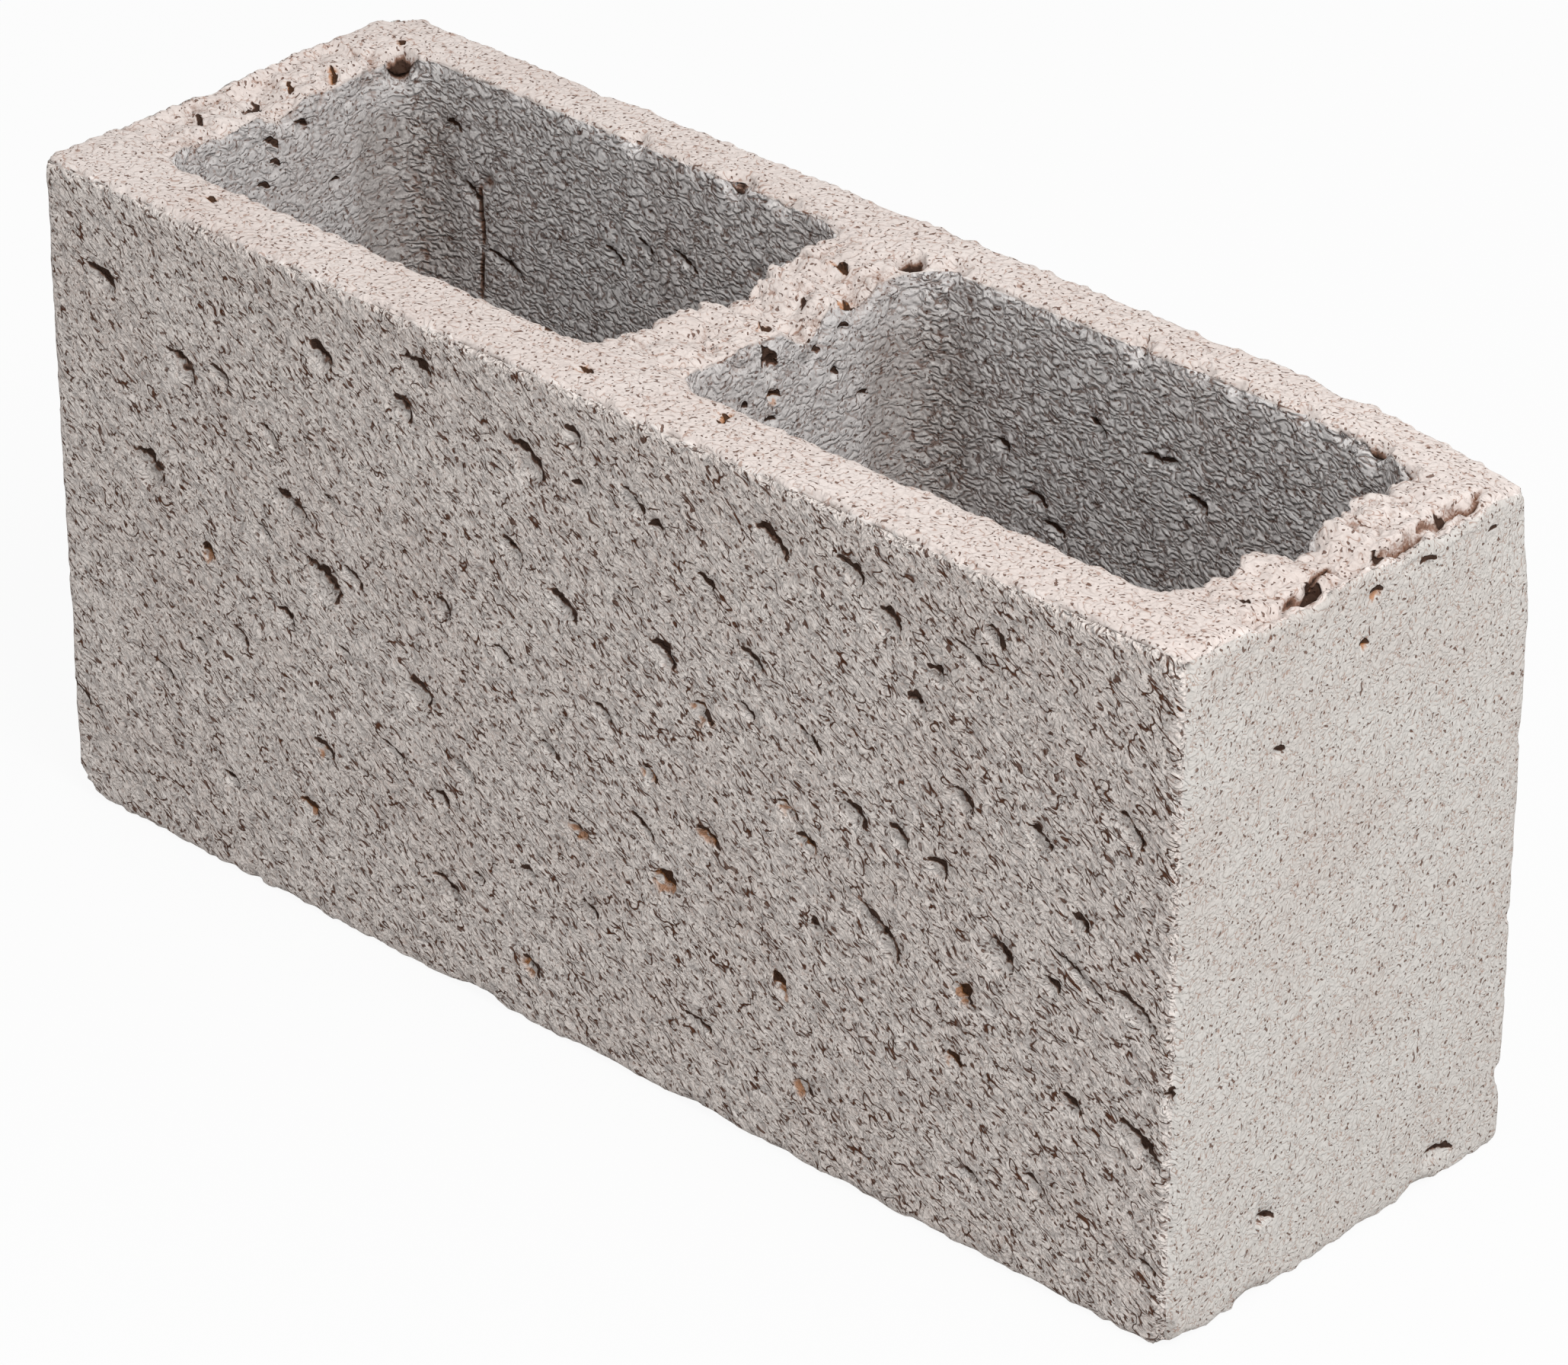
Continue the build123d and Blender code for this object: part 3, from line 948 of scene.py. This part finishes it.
def concrete_finish():
    """Open-textured concrete: grey with fine slanting streaks, brown dashes and cracks in its hollows.

    Streaks and dashes are stretched noise on the moulded faces; the low parts of streaks, lumps and
    ridges get painted shade, and the high parts of streaks and ridges painted highlight. On the beds and
    ends thin curling lines of painted crease shade run where a noise passes its middle value, with brown
    specks between them. Each pit has a painted shadow as a dark crescent along its upper side and a
    painted highlight as a pale slope below, from its own coordinates. The colours are laid over each
    other in order, each by its share.
    """
    finish = Finish(bpy.data.materials.new("concrete"))
    place = finish.node("ShaderNodeTexCoord").outputs["Object"]
    place = finish.vector("SCALE", {0: place, "Scale": 1 / MM})
    drift = finish.noises(place, 5.0, 0.0)["Color"]
    drift = finish.vector("SCALE", {0: drift, "Scale": STREAK_BEND})
    bent = finish.vector("ADD", {0: place, 1: drift})

    def streaked(stretch):
        """Places turned to the slant of the moulded faces and drawn out along it."""
        inputs = {"Vector": bent, "Rotation": (0, STREAK_SLANT, 0), "Scale": (stretch, 1, 1)}
        return finish.node("ShaderNodeMapping", inputs, vector_type="TEXTURE").outputs[0]

    marks = (Signal(finish, finish.attribute(name)["Fac"]) for name in FINISH_MARKS)
    hollow, iron, rim, bed, end, cell, calm, corner_shade = marks
    even = (bed + end).math("GREATER_THAN", 0.5)
    inside = cell.math("GREATER_THAN", 0.5)
    rough = (1 - even) * (1 - 0.5 * calm) * (1 - 0.5 * inside) * (1 - 0.7 * rim)
    rugged = inside * (1 - 0.7 * calm)

    pit = finish.attribute("pit")["Vector"]
    pit_across, pit_up, near = finish.parts("ShaderNodeSeparateXYZ", pit)
    shift = finish.parts("ShaderNodeSeparateColor", finish.noises(place, 2.2, 1.0)["Color"])
    pit_across = pit_across + (shift[0] - 0.5) * PIT_WANDER
    pit_up = pit_up + (shift[1] - 0.5) * PIT_WANDER
    out = pit_across * pit_across + pit_up * pit_up
    side = 0.2 * pit_across + pit_up
    in_pit = out.smooth(1.15, 0.9) * near
    # The crescent is painted shadow along each pit's upper side, and the slope is a painted highlight on
    # its lower side
    crescent = side.smooth(-0.05, 0.4) * out.smooth(1.4, 0.95) * near
    slope = side.smooth(0.3, -0.1) * in_pit

    along = finish.parts("ShaderNodeSeparateXYZ", place)[0]
    fold = finish.noise(place, 5.5, 0.0) + 0.08 * near * out.smooth(4.0, 1.2)
    fold = fold + 0.08 * along.smooth(-120, 150)
    streak = finish.noise(streaked(6.0), 0.6, 1.0)
    lump = finish.noise(streaked(2.0), 1.7, 0.0)
    dash = finish.noise(streaked(3.0), 0.76, 0.0).smooth(0.66, 0.705)
    dash = dash * fold.smooth(0.15, 0.45) * (1 - 0.6 * in_pit)
    crack = abs(finish.noise(streaked(2.4), 3.4, 1.0) - 0.5).smooth(0.022, 0.006)
    crack = crack * fold.smooth(0.55, 0.64) * (1 - in_pit)
    on_bed = bed.math("GREATER_THAN", 0.5)
    longer = finish.vector("SCALE", {0: (-0.5, -0.5, -0.25), "Scale": inside})
    wider = finish.vector("SCALE", {0: (-0.35, -0.35, -0.35), "Scale": on_bed})
    curl = finish.vector("ADD", {0: finish.vector("ADD", {0: longer, 1: wider}), 1: (1, 1, 1)})
    valley = abs(finish.noise(finish.vector("MULTIPLY", {0: bent, 1: curl}), 1.7, 1.0) - 0.5)
    ridge = valley.smooth(0.0, 0.16)
    gate = finish.noise(place, 2.6, 0.0)
    line = valley.smooth(0.035, 0.008) * gate.smooth(0.4, 0.56)
    specks = (finish.noise(bent, 0.95, 0.0) - 0.02 * end).smooth(0.69, 0.75)
    grain = finish.noise(place, 0.7, 1.0, 0.6)
    cloud = finish.noise(place, 34.0, 1.0, 0.55)

    height = (
        grain * 0.1
        + streak * 0.4 * rough * (1 - 0.6 * inside)
        + lump * 1.1 * rough * (1 - inside)
        + ridge * (0.16 + 0.26 * rough * (1 - inside) + 0.5 * rugged)
        - dash * 0.35 * rough
        - crack * 0.5 * rough
        - specks * 0.25
        - crescent * 0.8
    )

    # Base tones of the faces: partly the concrete's own tone, partly painted light and shade, each set
    # to match how bright its face looks lit, so the front is painted lighter than the bed and the end
    # darker
    front_colour = (0.75, 0.682, 0.636, 1)
    bed_colour = (0.655, 0.583, 0.546, 1)
    end_colour = (0.56, 0.535, 0.505, 1)
    cell_colour = (0.63, 0.61, 0.605, 1)
    # Near-black painted shadow for the deepest parts of the pits and the creases in the cells
    shadow_brown = (0.036, 0.02, 0.014, 1)
    crack_brown = (0.085, 0.03, 0.013, 1)
    line_brown = (0.26, 0.12, 0.07, 1)
    speck_brown = (0.11, 0.045, 0.025, 1)
    # Painted shade grey, laid where shade falls: in the cells' corners and on their web walls, and in
    # the low parts of the streaks, lumps and ridge valleys
    shade_grey = (0.33, 0.30, 0.285, 1)
    rust = (0.40, 0.16, 0.05, 1)
    pit_brown = (0.17, 0.066, 0.028, 1)
    pale = (0.82, 0.785, 0.755, 1)

    ragged = 0.4 * (grain - 0.5)
    # Painted shadow: the pits' crescents and the marked hollows, with ragged edges
    deep = crescent.larger(hollow + ragged)
    dash = dash * (0.9 - 0.4 * inside) * (1 - 0.5 * calm) * (1 - 0.9 * rim)
    crack = crack * (0.2 + 0.78 * rough) * (1 - 0.4 * calm) * (1 - 0.9 * rim)
    colour = front_colour
    for share, tint in (
        ((cell + ragged).smooth(0.4, 0.6), cell_colour),
        ((end + ragged).smooth(0.4, 0.6), end_colour),
        ((bed + ragged).smooth(0.4, 0.6), bed_colour),
        (cloud.smooth(0.35, 0.75) * 0.1, line_brown),
        # Painted shade in the cells' back corners and on their web walls
        (corner_shade.larger(calm * 0.3) * 0.85, shade_grey),
        # Painted shade in the low parts of the streaks and painted highlight on their high parts
        (streak.smooth(0.55, 0.35) * 0.4 * rough, shade_grey),
        (streak.smooth(0.54, 0.68) * 0.35 * rough, pale),
        # Painted shade in the low parts of the lumps
        (lump.smooth(0.45, 0.3) * 0.5 * rough * (1 - inside), shade_grey),
        # Painted highlight on the ridge tops and painted shade in the valleys between them
        (ridge * grain.smooth(0.4, 0.6) * (0.15 + 0.4 * rugged), pale),
        ((1 - ridge) * (0.1 + 0.25 * rugged), shade_grey),
        # Painted highlight on each pit's lower slope
        (slope * 0.15, pale),
        # Painted highlight along the outer edges
        (rim * gate.smooth(0.4, 0.55) * 0.5, pale),
        # Painted shade in the creases between ridges, brown on the beds and ends
        (line * (0.3 + 0.3 * even + 0.2 * rugged), line_brown),
        (specks * (0.75 + 0.1 * even), speck_brown),
        # Painted shade in the short dashes and cracks of the moulded faces, in brown
        (dash * (1 - even) + dash * bed * 0.15, crack_brown),
        (crack, crack_brown),
        # Near-black painted shade in the creases inside the cells
        (line * rugged * 0.5, shadow_brown),
        (iron * gate.smooth(0.42, 0.56) * 0.8, rust),
        # Painted shadow in the pits, holes, bites and cracks, brown and then near black in the deepest
        # parts
        (deep.smooth(0.1, 0.45) * 0.85, pit_brown),
        (deep.smooth(0.1, 0.4) * iron * 0.7, rust),
        (deep.smooth(0.35, 0.8) * 0.9, shadow_brown),
    ):
        colour = finish.mix(share, colour, tint)

    bump = finish.node("ShaderNodeBump", {"Strength": 1.0, "Distance": MM, "Height": height})
    surface = finish.node(
        "ShaderNodeBsdfPrincipled",
        {"Base Color": colour, "Roughness": 0.93, "Specular IOR Level": 0.06, "Normal": bump.outputs[0]},
    )
    finish.node("ShaderNodeOutputMaterial", {"Surface": surface.outputs[0]})
    return finish.owner


def camera_ray_share(finish):
    """1 where the camera, a mirror or glass looks straight at the surface."""
    path = finish.node("ShaderNodeLightPath")
    seen = Signal(finish, path.outputs["Is Camera Ray"])
    for name in ("Is Glossy Ray", "Is Transmission Ray"):
        seen = seen.larger(Signal(finish, path.outputs[name]))
    return seen


def make_floor():
    """A wide white floor that keeps the block's soft shadow."""
    mesh = bpy.data.meshes.new("floor")
    corners = [(sx * FLOOR_HALF, sy * FLOOR_HALF, 0) for sx, sy in CORNER_SIGNS]
    mesh.from_pydata(corners, [], [(0, 1, 2, 3)])
    floor = new_object("floor", mesh)
    finish = Finish(bpy.data.materials.new("floor_white"))
    paint = finish.node("ShaderNodeBsdfDiffuse", {"Color": FLOOR_GREY})
    glow = finish.node("ShaderNodeEmission", {"Color": WHITE, "Strength": 1.0})
    share = camera_ray_share(finish) * FLOOR_GLOW
    mixed = finish.node("ShaderNodeMixShader", {0: share, 1: paint.outputs[0], 2: glow.outputs[0]})
    finish.node("ShaderNodeOutputMaterial", {"Surface": mixed.outputs[0]})
    mesh.materials.append(finish.owner)


def make_light():
    """A soft key from the upper right and an even fill from all round, white behind everything."""
    lamp = bpy.data.lights.new("key", "AREA")
    lamp.shape = "DISK"
    lamp.size = KEY_SIZE
    lamp.energy = KEY_POWER
    key = new_object("key", lamp)
    towards = Vector(KEY_DIRECTION).normalized()
    key.location = BLOCK_MIDDLE + towards * KEY_DISTANCE
    key.rotation_euler = towards.to_track_quat("Z", "Y").to_euler()

    finish = Finish(bpy.data.worlds.new("studio"))
    fill = finish.node("ShaderNodeBackground", {"Color": WHITE, "Strength": FILL_STRENGTH})
    behind = finish.node("ShaderNodeBackground", {"Color": WHITE, "Strength": 1.0})
    seen = finish.node("ShaderNodeLightPath").outputs["Is Camera Ray"]
    mixed = finish.node("ShaderNodeMixShader", {0: seen, 1: fill.outputs[0], 2: behind.outputs[0]})
    finish.node("ShaderNodeOutputWorld", {"Surface": mixed.outputs[0]})
    bpy.context.scene.world = finish.owner


def make_camera():
    """The photo's view, turned about the block's middle and then shifted a little to frame it."""
    azimuth, elevation = math.radians(VIEW_AZIMUTH), math.radians(VIEW_ELEVATION)
    level = math.cos(elevation)
    back = Vector((math.sin(azimuth) * level, -math.cos(azimuth) * level, math.sin(elevation)))
    turn = back.to_track_quat("Z", "Y")
    sideways = turn @ Vector((AIM_RIGHT, -AIM_DOWN, 0))
    lens = bpy.data.cameras.new("camera")
    lens.sensor_fit = "HORIZONTAL"
    lens.sensor_width = SENSOR_WIDTH
    lens.lens = SENSOR_WIDTH * FOCAL_PIXELS / IMAGE_WIDTH
    lens.clip_end = CLIP_END
    camera = new_object("camera", lens)
    camera.location = BLOCK_MIDDLE + (back * VIEW_DISTANCE + sideways) * MM
    camera.rotation_euler = turn.to_euler()
    bpy.context.scene.camera = camera


block = make_block()
block.data.materials.append(concrete_finish())
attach(block, "root")
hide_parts(NODE)
make_floor()
make_light()
make_camera()
bpy.context.scene.view_settings.view_transform = "Standard"
